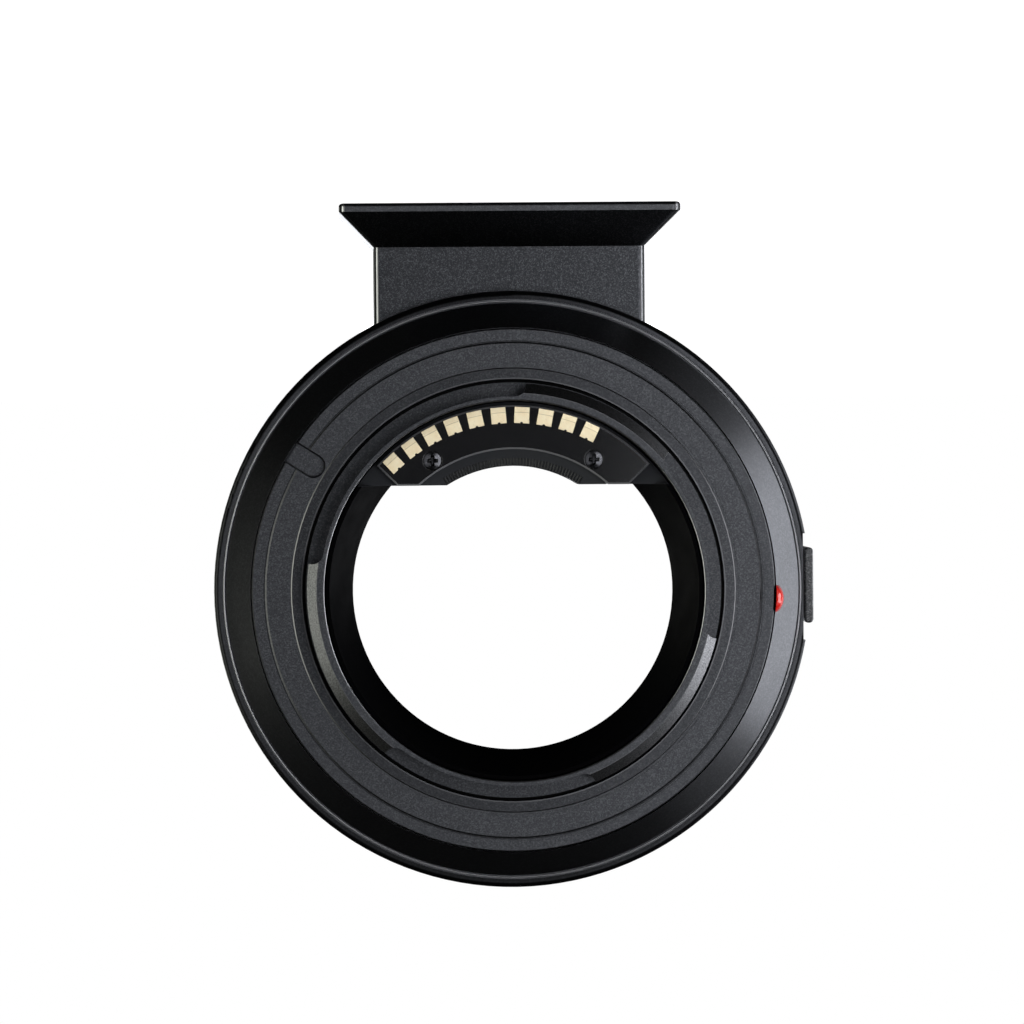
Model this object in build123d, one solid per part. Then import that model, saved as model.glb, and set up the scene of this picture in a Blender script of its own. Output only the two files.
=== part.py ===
"""Lens mount adapter with a tripod foot, standing on the foot.

Millimetres, +Z up. The origin is the mouth of the tripod thread, in the middle of the foot's base.
The optical axis runs along Y: the camera side faces -Y and the lens side faces +Y.
Angles round the optical axis are in degrees from +X, anticlockwise as seen from the camera side.
"""
from build123d import *
import math
import os

# Optical axis and register planes
axis_height = 43.0
camera_flange_offset = 14.0
flange_distance = 26.0

# Fits
seat_gap = 0.10
slide_gap = 0.05
thread_gap = 0.02

# Barrel
lens_throat_radius = 27.0
cavity_room = 1.4
barrel_wall = 4.8
chamfer_depth = 3.33
bead_set_back = 0.3
bead_width = 0.24
bead_crown = 0.12
bead_groove_width = 0.12
bead_groove_depth = 0.25
band_width = 0.3
band_fall = 0.06
edge_round = 0.6
web_thickness = 2.6
rim_wall = 0.9
rim_chamfer = 0.4

# Camera mount: flange and male bayonet, turned in one piece
bayonet_bore_radius = 20.9
bayonet_wall = 0.5
bayonet_length = 4.6
bayonet_edge = 0.18
tab_reach = 1.43
tab_thickness = 2.0
tab_lead_in = 0.9
tab_face_width = 0.38
tab_corner_radius = 1.2
tab_spans = [(-8.0, 51.0), (112.5, 166.2), (221.4, 266.4)]
flange_radius = 28.95
flange_thickness = 2.0
flange_proud = 0.25
flange_gap = 0.15
flange_edge = 0.12
fine_groove_radii = [24.5, 27.3]
fine_groove_slopes = [0.13, 0.19]
fine_groove_floor = 0.28
fine_groove_depth = 0.1
relief_step = 0.15
relief_width = 0.28
relief_depth = 0.5
relief_edge = 0.1
lock_slot_angle = -32.3
lock_slot_width = 2.3
lock_slot_length = 4.05
lock_slot_depth = 1.5
lock_slot_draft = 0.2

# Light baffle and the seat of the contact block
baffle_mouth_wall = 0.4
baffle_set_back = 0.7
baffle_hole_radius = 17.75
baffle_hole_depth = 3.4
baffle_flange_thickness = 1.2
baffle_flare = 1.15
baffle_screw_angles = [90, 205, 335]
seat_chord = 11.65
seat_inner_radius = 13.75
seat_height = 1.4
seat_slope_depth = 0.4
boss_height = 1.0
boss_radius = 1.5

# Contact block and its contacts
block_gap = 0.45
block_inner_radius = 15.6
block_thickness = 1.8
block_edge = 0.2
block_foot_half_width = 12.75
block_end_half_width = 15.05
block_end_drop = 2.25
contact_count = 10
contact_pitch = 7.635
contact_first_angle = -47.05
contact_radius = 19.35
pad_width = 1.65
pad_length = 1.8
pad_thickness = 0.2
pad_fold = 0.6
pad_fold_drop = 0.03
pad_notch_radius = 0.16
leg_width = 0.7
leg_thickness = 0.3
leg_tail = 0.4
block_screw_radius = 16.91
block_screw_spread = 31.7

# Circuit board
board_inner_radius = 18.2
board_edge_gap = 1.0
board_thickness = 0.8
board_half_span = 72
controller_size = 5.0
controller_height = 0.9
controller_spread = -56
power_size = 3.2
power_height = 0.8
power_spread = 56

# Lens mount: female bayonet plate
plate_thickness = 2.4
plate_proud = 0.3
plate_edge = 0.25
claw_thickness = 1.3
claw_undercut = 1.6
claw_half_span = 31
claw_angles = [30, 150, 270]
tab_room_depth = 3.6
tab_room_gap = 0.4
plate_screw_count = 4
plate_screw_first_angle = 60

# Leaf springs behind the claws
leaf_thickness = 0.3
leaf_half_span = 22
leaf_width = 1.2
leaf_ear_span = 8
leaf_ear_reach = 2.4
leaf_pocket_depth = 1.0
leaf_pocket_margin = 1

# Lens side contact pins
pin_circle_radius = 23.0
pin_pitch = 6.5
pin_places = [-4, -3, -2, -0.5, 0.5, 1.5, 2.5, 3.5]
pin_tip_radius = 0.6
pin_shoulder_radius = 0.9
pin_shoulder_length = 1.2
pin_tail_radius = 0.4
pin_tail_length = 3.4
pin_travel = 1.0
pin_nose_left = 0.2
pin_nose_round = 0.39
pin_cap_thickness = 1.4
pin_wire_radius = 0.11
pin_spring_turns = 8
holder_depth = 7.0
holder_half_width = 2.2
holder_half_span = 32
holder_ear_spread = 6
holder_ear_thickness = 1.5
holder_edge = 0.3

# Release slider
release_travel = 2.2
pocket_width = 11.9
pocket_depth = 0.8
pocket_end_gap = 0.6
channel_skin = 0.8
channel_length = 13.6
carriage_width = 8.0
carriage_length = 8.5
carriage_thickness = 2.8
carriage_stop_gap = 0.1
button_width = 8.5
button_length = 10.0
button_thickness = 1.05
button_stand_off = 0.65
button_round = 0.45
button_edge = 0.25
button_rib_pitch = 1.0
button_rib_depth = 0.2
neck_width = 6.6
neck_length = 4.6
neck_gap = 0.1
button_lead = 2.5
button_screw_spread = 2.4
lock_pin_radius = 1.0
lock_pin_stand_out = 1.8
lock_pin_grip = 3.8
lock_pin_nose = 0.35
rod_radius = 0.6
rod_grip = 3.0
rod_reach = 1.0
release_wire_radius = 0.16
release_spring_turns = 5

# Index dots
dot_radius = 1.5
dot_depth = 0.8
dot_crown = 0.6
camera_dot_angle = 177.7
lens_dot_radius = 1.2
lens_dot_set_back = 2.4

# Tripod foot
foot_width = 38.0
foot_length = 22.0
foot_edge_height = 0.95
foot_edge_round = 0.4
foot_corner = 0.9
foot_bevel = 3.85
stem_corner = 0.7
foot_screw_spacing = 20.0
foot_screw_radius = 1.5
foot_screw_head_radius = 2.75
foot_screw_head_height = 3.0
foot_screw_head_recess = 0.3
foot_screw_grip = 4.2
foot_screw_hex = 1.25
bush_radius = 4.75
bush_collar_radius = 5.4
bush_collar_height = 0.8
bush_cover = 1.8
tripod_thread_radius = 2.55

# Small cross recess screws
small_screw_radius = 0.8
small_head_radius = 1.4
small_head_height = 0.75
mount_screw_radius = 1.0
mount_head_radius = 1.45
mount_head_height = 0.9
block_screw_shank = 0.55
block_head_radius = 0.96
block_head_height = 0.6
block_head_recess = 0.1
block_screw_grip = 4.0
leaf_screw_radius = 0.5
leaf_head_radius = 0.9
leaf_head_height = 0.5
button_screw_radius = 0.6
button_head_radius = 1.0
button_head_height = 0.5
screw_clearance = 0.1
screw_bottom_gap = 0.2
head_crown_share = 0.2
recess_share = 0.65
recess_width_share = 0.23
recess_floor_share = 0.35

# Places along the optical axis
camera_y = -camera_flange_offset
lens_y = camera_y + flange_distance
flange_back_y = camera_y + flange_thickness
bayonet_end_y = camera_y - bayonet_length
web_y = flange_back_y + web_thickness
nose_y = camera_y + flange_proud
chamfer_y = nose_y + chamfer_depth
band_y = chamfer_y + bead_set_back
edge_y = band_y + band_fall + edge_round
plate_back_y = lens_y - plate_thickness
rim_y = lens_y - plate_proud
tab_room_y = plate_back_y - tab_room_depth
baffle_back_y = web_y + baffle_flange_thickness
seat_y = camera_y - seat_height
block_face_y = seat_y - block_thickness
board_y = baffle_back_y + boss_height
board_top_y = board_y + board_thickness
holder_face_y = lens_y - holder_depth
pin_stop_y = holder_face_y - pin_cap_thickness
pin_stand_out = pin_travel + pin_nose_left
carriage_front_y = plate_back_y - carriage_stop_gap
carriage_back_y = carriage_front_y - carriage_length
channel_end_y = plate_back_y - channel_length

# Radii and heights that follow
cavity_radius = lens_throat_radius + cavity_room
barrel_radius = cavity_radius + barrel_wall
band_outer_radius = barrel_radius - edge_round
band_inner_radius = band_outer_radius - band_width
bead_outer_radius = band_inner_radius - bead_groove_width
bead_inner_radius = bead_outer_radius - bead_width
chamfer_radius = bead_inner_radius - bead_groove_width
plate_recess_radius = barrel_radius - rim_wall
plate_radius = plate_recess_radius - seat_gap
undercut_radius = lens_throat_radius + claw_undercut
tab_room_radius = undercut_radius + tab_room_gap
plate_screw_circle = (tab_room_radius + plate_recess_radius) / 2
neck_radius = bayonet_bore_radius + bayonet_wall
tab_radius = neck_radius + tab_reach
recess_radius = flange_radius + flange_gap
baffle_radius = bayonet_bore_radius - flange_gap
web_bore_radius = bayonet_bore_radius + seat_gap
mount_screw_circle = cavity_radius - mount_head_radius - screw_clearance
baffle_flange_radius = mount_screw_circle - mount_head_radius - 2 * screw_clearance
boss_circle = (web_bore_radius + baffle_flange_radius) / 2
block_radius = bayonet_bore_radius - block_gap
pocket_floor = barrel_radius - pocket_depth
channel_outer = pocket_floor - channel_skin
carriage_outer = channel_outer - seat_gap
carriage_inner = carriage_outer - carriage_thickness
lock_pin_x = -(carriage_outer + carriage_inner) / 2
neck_middle_y = carriage_front_y - button_lead - neck_length / 2
button_front_y = neck_middle_y + neck_length / 2 + screw_clearance
stem_width = foot_width - 2 * foot_bevel
stem_length = foot_length - 2 * foot_bevel
foot_top = foot_edge_height + foot_bevel
bush_length = axis_height - barrel_radius - bush_cover

OPTICAL_AXIS = Axis((0, 0, axis_height), (0, -1, 0))


def polar(radius, angle):
    """Point at a radius and angle in a plane square to the optical axis."""
    turn = math.radians(angle)
    return radius * math.cos(turn), radius * math.sin(turn)


def camera_side(y):
    """Plane square to the optical axis, facing the camera: x to the right, y up."""
    return Plane(origin=(0, y, axis_height), x_dir=(1, 0, 0), z_dir=(0, -1, 0))


def lens_side(y):
    """Plane square to the optical axis, facing the lens: x to the left, y up."""
    return Plane(origin=(0, y, axis_height), x_dir=(-1, 0, 0), z_dir=(0, 1, 0))


def turned(edges):
    """Solid of a closed (radius, y) outline spun about the optical axis."""
    outline = Plane((0, 0, axis_height)) * make_face(edges)
    return revolve(outline, OPTICAL_AXIS)


def round_corner(start, corner, end):
    """Quarter arc from start to end that rounds off a square corner."""
    centre = [first + last - square for first, last, square in zip(start, end, corner)]
    middle = [hub + (square - hub) / math.sqrt(2) for hub, square in zip(centre, corner)]
    return ThreePointArc(start, tuple(middle), end)


def prism(outline, low, high):
    """Solid of an outline square to the optical axis, from y = low to y = high."""
    return extrude(camera_side(high) * outline, amount=high - low)


def drilled(radius, circle, angle, low, high):
    """Round bar along the optical axis at a place on a circle round it."""
    return prism(Pos(*polar(circle, angle)) * Circle(radius), low, high)


def sector(inner, outer, start, end):
    """Ring segment between two radii and two angles."""
    middle = (start + end) / 2
    edges = Line(polar(inner, start), polar(outer, start))
    edges += ThreePointArc(polar(outer, start), polar(outer, middle), polar(outer, end))
    edges += Line(polar(outer, end), polar(inner, end))
    edges += ThreePointArc(polar(inner, end), polar(inner, middle), polar(inner, start))
    return make_face(edges)


def block(low, high):
    """Box between two corners."""
    size = [top - bottom for bottom, top in zip(low, high)]
    middle = [(top + bottom) / 2 for bottom, top in zip(low, high)]
    return Pos(*middle) * Box(*size)


def crown_ball(radius, crown, top):
    """Ball whose cap is as wide as a radius and as high as a crown, with its highest point at top."""
    ball_radius = (radius**2 + crown**2) / (2 * crown)
    return Pos(0, 0, top - ball_radius) * Sphere(ball_radius)


def cross(reach, half_width):
    """Outline of a cross with four like arms."""
    arm = [(half_width, half_width), (reach, half_width), (reach, -half_width)]
    points = []
    for quarter in range(4):
        turn = math.radians(-90 * quarter)
        for x, y in arm:
            points.append((x * math.cos(turn) - y * math.sin(turn), x * math.sin(turn) + y * math.cos(turn)))
    return make_face(Polyline(*points, close=True))


def cross_screw(shank_radius, head_radius, head_height, length):
    """Screw along Z with the underside of its head at zero, and a cross recess in the head."""
    head = Pos(0, 0, head_height / 2) * Cylinder(head_radius, head_height)
    head &= crown_ball(head_radius, head_height * head_crown_share, head_height)
    shank = Pos(0, 0, -length / 2) * Cylinder(shank_radius, length)
    reach = head_radius * recess_share
    half_width = head_radius * recess_width_share
    mouth = Pos(0, 0, head_height) * cross(reach, half_width)
    floor_z = head_height * (1 - recess_share)
    floor = Pos(0, 0, floor_z) * cross(reach * recess_share, half_width * recess_floor_share)
    return head + shank - loft([mouth, floor], ruled=True)


def coil(radius, wire_radius, length, turns):
    """Compression spring along Z, resting on zero."""
    rise = length - 2 * wire_radius
    path = Helix(pitch=rise / turns, height=rise, radius=radius)
    section = Plane(origin=path @ 0, z_dir=path % 0) * Circle(wire_radius)
    return Pos(0, 0, wire_radius) * sweep(section, path, is_frenet=True)


def on_lens_side(shape, circle, angle, y):
    """Shape along Z set on a lens facing plane, at a place on a circle round the axis."""
    across, up = polar(circle, angle)
    return lens_side(y) * Pos(-across, up, 0) * shape


def on_camera_side(shape, circle, angle, y):
    """Shape along Z set on a camera facing plane, at a place on a circle round the axis."""
    return camera_side(y) * Pos(*polar(circle, angle), 0) * shape


mount_screw_angles = [45, 135, 225, 315]
plate_screw_angles = [plate_screw_first_angle + i * 360 / plate_screw_count for i in range(plate_screw_count)]
boss_spread = holder_half_span + holder_ear_spread
boss_angles = [-90 - boss_spread, -90 + boss_spread]
block_screw_angles = [-90 - block_screw_spread, -90 + block_screw_spread]
contact_angles = [contact_first_angle - i * contact_pitch for i in range(contact_count)]
pin_angles = [-90 + place * pin_pitch for place in pin_places]
leaf_ear_angles = [angle - leaf_half_span + leaf_ear_span / 2 for angle in claw_angles]
leaf_outer_radius = undercut_radius - seat_gap
leaf_inner_radius = leaf_outer_radius - leaf_width
leaf_ear_radius = leaf_outer_radius + leaf_ear_reach
leaf_screw_circle = (leaf_outer_radius + leaf_ear_radius) / 2
mount_screw_grip = flange_thickness - 2 * screw_bottom_gap - fine_groove_depth
foot_screw_places = [-foot_screw_spacing / 2, foot_screw_spacing / 2]


def barrel_height_at(x):
    """Height of the barrel's underside at a distance x from its middle."""
    return axis_height - math.sqrt(barrel_radius**2 - x**2)


def camera_dot_plane():
    """Plane on the rear chamfer at its inner edge, facing outwards."""
    slope = chamfer_depth / (chamfer_radius - recess_radius)
    lean = math.atan(slope)
    across, up = polar(1, camera_dot_angle)
    outward = (math.sin(lean) * across, -math.cos(lean), math.sin(lean) * up)
    centre = (recess_radius * across, nose_y, axis_height + recess_radius * up)
    return Plane(origin=centre, x_dir=(-up, 0, across), z_dir=outward)


def lens_dot_plane():
    """Plane on top of the barrel near its lens end, facing up."""
    return Plane((0, plate_back_y - lens_dot_set_back, axis_height + barrel_radius))


def dot_plug(radius):
    """Round plug along Z with a low crown, filling a hole below zero."""
    stock = Pos(0, 0, (dot_crown - dot_depth) / 2) * Cylinder(radius, dot_depth + dot_crown)
    return stock & crown_ball(radius, dot_crown, dot_crown)


def barrel():
    """Turned body: rear recess and chamfer, fine bead and edge band, lens side recess and release channel."""
    groove_y = band_y + bead_groove_depth
    bead_y = band_y + bead_crown
    bead_middle = ((bead_inner_radius + bead_outer_radius) / 2, band_y)
    band_end = (band_outer_radius, band_y + band_fall)
    edges = Polyline(
        (web_bore_radius, flange_back_y),
        (recess_radius, flange_back_y),
        (recess_radius, nose_y),
        (chamfer_radius, chamfer_y),
        (chamfer_radius, groove_y),
        (bead_inner_radius, groove_y),
        (bead_inner_radius, bead_y),
    )
    edges += ThreePointArc((bead_inner_radius, bead_y), bead_middle, (bead_outer_radius, bead_y))
    edges += Polyline(
        (bead_outer_radius, bead_y),
        (bead_outer_radius, groove_y),
        (band_inner_radius, groove_y),
        (band_inner_radius, band_y),
        band_end,
    )
    edges += round_corner(band_end, (barrel_radius, band_end[1]), (barrel_radius, edge_y))
    edges += Polyline(
        (barrel_radius, edge_y),
        (barrel_radius, rim_y - rim_chamfer),
        (barrel_radius - rim_chamfer, rim_y),
        (plate_recess_radius, rim_y),
        (plate_recess_radius, plate_back_y),
        (tab_room_radius, plate_back_y),
        (tab_room_radius, tab_room_y),
        (cavity_radius, tab_room_y),
        (cavity_radius, web_y),
        (web_bore_radius, web_y),
        (web_bore_radius, flange_back_y),
    )
    body = turned(edges)
    outside = -barrel_radius - seat_gap
    half_pocket = pocket_width / 2
    pocket_end_y = button_front_y + pocket_end_gap
    body -= block(
        (outside, camera_y, axis_height - half_pocket),
        (-pocket_floor, pocket_end_y, axis_height + half_pocket),
    )
    half_neck = neck_width / 2 + neck_gap
    neck_start_y = neck_middle_y - neck_length / 2 - release_travel - neck_gap
    neck_end_y = neck_middle_y + neck_length / 2 + neck_gap
    body -= block(
        (outside, neck_start_y, axis_height - half_neck),
        (-channel_outer, neck_end_y, axis_height + half_neck),
    )
    half_channel = carriage_width / 2 + seat_gap
    body -= block(
        (-channel_outer, channel_end_y, axis_height - half_channel),
        (-carriage_inner + carriage_thickness, plate_back_y, axis_height + half_channel),
    )
    body -= drilled(rod_radius, -lock_pin_x, 180, channel_end_y - rod_grip, channel_end_y)
    for angle in mount_screw_angles:
        body -= drilled(mount_screw_radius + screw_clearance, mount_screw_circle, angle, flange_back_y, web_y)
    for angle in baffle_screw_angles:
        body -= drilled(small_screw_radius + thread_gap, boss_circle, angle, flange_back_y, web_y)
    plate_grip = plate_back_y - tab_room_depth
    for angle in plate_screw_angles:
        body -= drilled(small_screw_radius + thread_gap, plate_screw_circle, angle, plate_grip, plate_back_y)
    for angle in leaf_ear_angles:
        half = leaf_ear_span / 2 + leaf_pocket_margin
        room = sector(cavity_radius, leaf_ear_radius + seat_gap, angle - half, angle + half)
        body -= prism(room, plate_back_y - leaf_pocket_depth, plate_back_y)
    for x in foot_screw_places:
        low = barrel_height_at(0)
        deep = barrel_height_at(x) + foot_screw_grip + screw_bottom_gap
        hole = Cylinder(foot_screw_radius + thread_gap, deep - low)
        body -= Pos(x, 0, (low + deep) / 2) * hole
    dot_hole = Pos(0, 0, -dot_depth / 2) * Cylinder(dot_radius, dot_depth)
    body -= camera_dot_plane() * dot_hole
    lens_dot_hole = Pos(0, 0, -dot_depth / 2) * Cylinder(lens_dot_radius, dot_depth)
    body -= lens_dot_plane() * lens_dot_hole
    return body


def camera_mount():
    """Flange and male bayonet: the tabs' ends have the round corners that a cutter leaves."""
    points = [
        (bayonet_bore_radius, flange_back_y),
        (flange_radius, flange_back_y),
        (flange_radius, camera_y + flange_edge),
        (flange_radius - flange_edge, camera_y),
    ]
    for radius, slope in reversed(list(zip(fine_groove_radii, fine_groove_slopes))):
        points.append((radius + slope + fine_groove_floor, camera_y))
        points.append((radius + slope + fine_groove_floor, camera_y + fine_groove_depth))
        points.append((radius + slope, camera_y + fine_groove_depth))
        points.append((radius, camera_y))
    relief_inner = tab_radius + relief_step
    points.append((relief_inner + relief_width + relief_edge, camera_y))
    points.append((relief_inner + relief_width, camera_y + relief_edge))
    points.append((relief_inner + relief_width, camera_y + relief_depth))
    points.append((relief_inner, camera_y + relief_depth))
    points.append((relief_inner, camera_y))
    points.append((neck_radius, camera_y))
    outer_start = (neck_radius, bayonet_end_y + bayonet_edge)
    outer_end = (neck_radius - bayonet_edge, bayonet_end_y)
    inner_start = (bayonet_bore_radius + bayonet_edge, bayonet_end_y)
    inner_end = (bayonet_bore_radius, bayonet_end_y + bayonet_edge)
    edges = Polyline(*points, outer_start)
    edges += round_corner(outer_start, (neck_radius, bayonet_end_y), outer_end)
    edges += Line(outer_end, inner_start)
    edges += round_corner(inner_start, (bayonet_bore_radius, bayonet_end_y), inner_end)
    edges += Line(inner_end, points[0])
    mount = turned(edges)
    tab_outline = Circle(neck_radius)
    for start, end in tab_spans:
        tab_outline += sector(bayonet_bore_radius, tab_radius, start, end)
    inner_corners = [
        corner
        for corner in tab_outline.vertices()
        if math.hypot(corner.X, corner.Y) < neck_radius + tab_reach / 2
    ]
    tab_outline = fillet(inner_corners, tab_corner_radius)
    tab_back_y = bayonet_end_y + tab_thickness
    envelope = turned(
        Polyline(
            (neck_radius - bayonet_wall / 2, tab_back_y),
            (tab_radius, tab_back_y),
            (tab_radius, bayonet_end_y + tab_lead_in),
            (neck_radius + tab_face_width, bayonet_end_y),
            (neck_radius - bayonet_wall / 2, bayonet_end_y),
            close=True,
        )
    )
    mount += prism(tab_outline, bayonet_end_y, tab_back_y) & envelope
    slot_mouth = camera_side(camera_y) * lock_slot_outline(lock_slot_draft)
    slot_floor = camera_side(camera_y + lock_slot_depth) * lock_slot_outline(0)
    mount -= loft([slot_mouth, slot_floor], ruled=True)
    hole_end_y = flange_back_y - mount_screw_grip - screw_bottom_gap
    for angle in mount_screw_angles:
        mount -= drilled(mount_screw_radius + thread_gap, mount_screw_circle, angle, hole_end_y, flange_back_y)
    return mount


def lock_slot_outline(spread):
    """Slot from the flange's rim inwards with a round end, widened by a spread on each side."""
    half = lock_slot_width / 2 + spread
    end = flange_radius - lock_slot_length + lock_slot_width / 2
    rim = flange_radius + seat_gap
    edges = Line((rim, -half), (end, -half))
    edges += ThreePointArc((end, -half), (end - half, 0), (end, half))
    edges += Polyline((end, half), (rim, half), (rim, -half))
    return Rot(0, 0, lock_slot_angle) * make_face(edges)


def camera_mount_screws():
    """Screws from inside, through the barrel's web into the flange."""
    length = web_thickness + mount_screw_grip
    screw = cross_screw(mount_screw_radius, mount_head_radius, mount_head_height, length)
    return [on_lens_side(screw, mount_screw_circle, angle, web_y) for angle in mount_screw_angles]


def below_chord(depth):
    """Wide area below a chord under the optical axis."""
    reach = 2 * bayonet_bore_radius
    return Pos(0, -depth - reach / 2) * Rectangle(2 * reach, reach)


def light_baffle():
    """Moulded funnel with a flange on the web, the contact block's seat and two bosses for the board."""
    mouth_y = bayonet_end_y + baffle_set_back
    hole_y = camera_y + baffle_hole_depth
    funnel = turned(
        Polyline(
            (baffle_radius, mouth_y),
            (baffle_radius, web_y),
            (baffle_flange_radius, web_y),
            (baffle_flange_radius, baffle_back_y),
            (baffle_hole_radius + baffle_flare, baffle_back_y),
            (baffle_hole_radius, hole_y),
            (baffle_radius - baffle_mouth_wall, mouth_y),
            close=True,
        )
    )
    funnel -= prism(below_chord(seat_chord), mouth_y, seat_y)
    seat = (Circle(baffle_radius) & below_chord(seat_chord)) - Circle(seat_inner_radius)
    seat_solid = prism(seat, seat_y, baffle_back_y)
    slope_reach = block_inner_radius - seat_inner_radius
    seat_solid -= turned(
        Polyline(
            (0, seat_y),
            (seat_inner_radius + slope_reach, seat_y),
            (seat_inner_radius, seat_y + seat_slope_depth),
            (0, seat_y + seat_slope_depth),
            close=True,
        )
    )
    baffle = funnel + seat_solid
    for angle in contact_angles:
        baffle -= prism(leg_hole(angle), seat_y, baffle_back_y)
    block_grip_y = seat_y + block_screw_grip
    for angle in block_screw_angles:
        baffle -= drilled(block_screw_shank + thread_gap, block_screw_radius, angle, seat_y, block_grip_y)
    for angle in boss_angles:
        baffle += drilled(boss_radius, boss_circle, angle, baffle_back_y, board_y)
    for angle in boss_angles:
        baffle -= drilled(small_screw_radius + thread_gap, boss_circle, angle, web_y, board_y)
    for angle in baffle_screw_angles:
        baffle -= drilled(small_screw_radius + screw_clearance, boss_circle, angle, web_y, baffle_back_y)
    return baffle


def leg_hole(angle):
    """Slot for one contact's leg."""
    slot = Rectangle(leg_thickness + 2 * slide_gap, leg_width + 2 * slide_gap)
    return Rot(0, 0, angle) * Pos(contact_radius, 0) * slot


def baffle_screws():
    """Screws that hold the baffle's flange on the web."""
    length = baffle_flange_thickness + web_thickness - screw_bottom_gap
    screw = cross_screw(small_screw_radius, small_head_radius, small_head_height, length)
    return [on_lens_side(screw, boss_circle, angle, baffle_back_y) for angle in baffle_screw_angles]


def contact_block():
    """Raised moulding with slanted ends, holes for the contacts' legs and two sunk screw holes."""
    end_depth = seat_chord + block_end_drop
    bottom = -2 * bayonet_bore_radius
    ends = make_face(
        Polyline(
            (-block_foot_half_width, -seat_chord),
            (block_foot_half_width, -seat_chord),
            (block_end_half_width, -end_depth),
            (block_end_half_width, bottom),
            (-block_end_half_width, bottom),
            (-block_end_half_width, -end_depth),
            close=True,
        )
    )
    outline = (Circle(block_radius) & ends) - Circle(block_inner_radius)
    body = prism(outline, block_face_y, seat_y)
    body = chamfer(body.edges().group_by(Axis.Y)[0], block_edge)
    sunk_y = block_face_y + block_head_height + block_head_recess
    for angle in block_screw_angles:
        body -= drilled(block_head_radius + screw_clearance, block_screw_radius, angle, block_face_y, sunk_y)
        body -= drilled(block_screw_shank + screw_clearance, block_screw_radius, angle, block_face_y, seat_y)
    for angle in contact_angles:
        body -= prism(leg_hole(angle), block_face_y, seat_y)
    return body


def contact_block_screws():
    """Two screws from the camera side, through the block into its seat."""
    head_y = block_face_y + block_head_height + block_head_recess
    length = seat_y - head_y + block_screw_grip - screw_bottom_gap
    screw = cross_screw(block_screw_shank, block_head_radius, block_head_height, length)
    return [on_camera_side(screw, block_screw_radius, angle, head_y) for angle in block_screw_angles]


def camera_contact(angle):
    """Stamped contact: a folded pad with a notch, and a leg that goes through to the board."""
    inner = contact_radius - pad_length / 2
    outer = contact_radius + pad_length / 2
    top_y = block_face_y - pad_thickness
    side = make_face(
        Polyline(
            (inner, block_face_y),
            (inner, top_y),
            (outer - pad_fold, top_y),
            (outer, top_y + pad_fold_drop),
            (outer, block_face_y),
            close=True,
        )
    )
    pad = extrude(Plane((0, 0, axis_height)) * side, amount=pad_width / 2, both=True)
    pad -= prism(Pos(inner, 0) * Circle(pad_notch_radius), top_y, block_face_y)
    leg_end_y = board_top_y + leg_tail
    leg = prism(Pos(contact_radius, 0) * Rectangle(leg_thickness, leg_width), block_face_y, leg_end_y)
    return (pad + leg).rotate(OPTICAL_AXIS, angle)


def circuit_board():
    """Ring segment board on the baffle's bosses, with holes for the contacts' legs."""
    start = -90 - board_half_span
    end = -90 + board_half_span
    outline = sector(board_inner_radius, cavity_radius - board_edge_gap, start, end)
    for angle in contact_angles:
        outline -= leg_hole(angle)
    for angle in boss_angles:
        outline -= Pos(*polar(boss_circle, angle)) * Circle(small_screw_radius + screw_clearance)
    return prism(outline, board_y, board_top_y)


def chip(size, height, spread):
    """Square chip on the board's lens side."""
    angle = -90 + spread
    outline = Rot(0, 0, angle) * Pos(pin_circle_radius, 0) * Rectangle(size, size)
    return prism(outline, board_top_y, board_top_y + height)


def lens_mount():
    """Plate of the female bayonet: three claws, and gaps that let a lens's tabs through."""
    claw_back_y = lens_y - claw_thickness
    plate = turned(
        Polyline(
            (undercut_radius, plate_back_y),
            (plate_radius, plate_back_y),
            (plate_radius, lens_y - plate_edge),
            (plate_radius - plate_edge, lens_y),
            (lens_throat_radius + plate_edge, lens_y),
            (lens_throat_radius, lens_y - plate_edge),
            (lens_throat_radius, claw_back_y),
            (undercut_radius, claw_back_y),
            close=True,
        )
    )
    plate -= drilled(lock_pin_radius + slide_gap, -lock_pin_x, 180, plate_back_y, lens_y)
    sunk_y = lens_y - small_head_height - screw_bottom_gap
    for angle in plate_screw_angles:
        plate -= drilled(small_screw_radius + screw_clearance, plate_screw_circle, angle, plate_back_y, lens_y)
        plate -= drilled(small_head_radius + screw_clearance, plate_screw_circle, angle, sunk_y, lens_y)
    leaf_hole_y = lens_y - claw_thickness / 2
    for angle in leaf_ear_angles:
        plate -= drilled(leaf_screw_radius + thread_gap, leaf_screw_circle, angle, plate_back_y, leaf_hole_y)
    for angle in claw_angles:
        start = angle + claw_half_span
        end = angle + 360 / len(claw_angles) - claw_half_span
        plate -= prism(sector(lens_throat_radius / 2, undercut_radius, start, end), plate_back_y, lens_y)
    return plate


def lens_mount_screws():
    """Sunk screws that hold the plate on the barrel's ledge."""
    head_y = lens_y - small_head_height - screw_bottom_gap
    length = head_y - plate_back_y + tab_room_depth - screw_bottom_gap
    screw = cross_screw(small_screw_radius, small_head_radius, small_head_height, length)
    return [on_lens_side(screw, plate_screw_circle, angle, head_y) for angle in plate_screw_angles]


def lens_spring(angle):
    """Leaf spring: an arc strip behind a claw, with an ear that is screwed to the plate."""
    start = angle - leaf_half_span
    strip = sector(leaf_inner_radius, leaf_outer_radius, start, angle + leaf_half_span)
    ear_inner = leaf_outer_radius - leaf_width / 2
    strip += sector(ear_inner, leaf_ear_radius, start, start + leaf_ear_span)
    ear_angle = start + leaf_ear_span / 2
    strip -= Pos(*polar(leaf_screw_circle, ear_angle)) * Circle(leaf_screw_radius + screw_clearance)
    return prism(strip, plate_back_y - leaf_thickness, plate_back_y)


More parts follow.
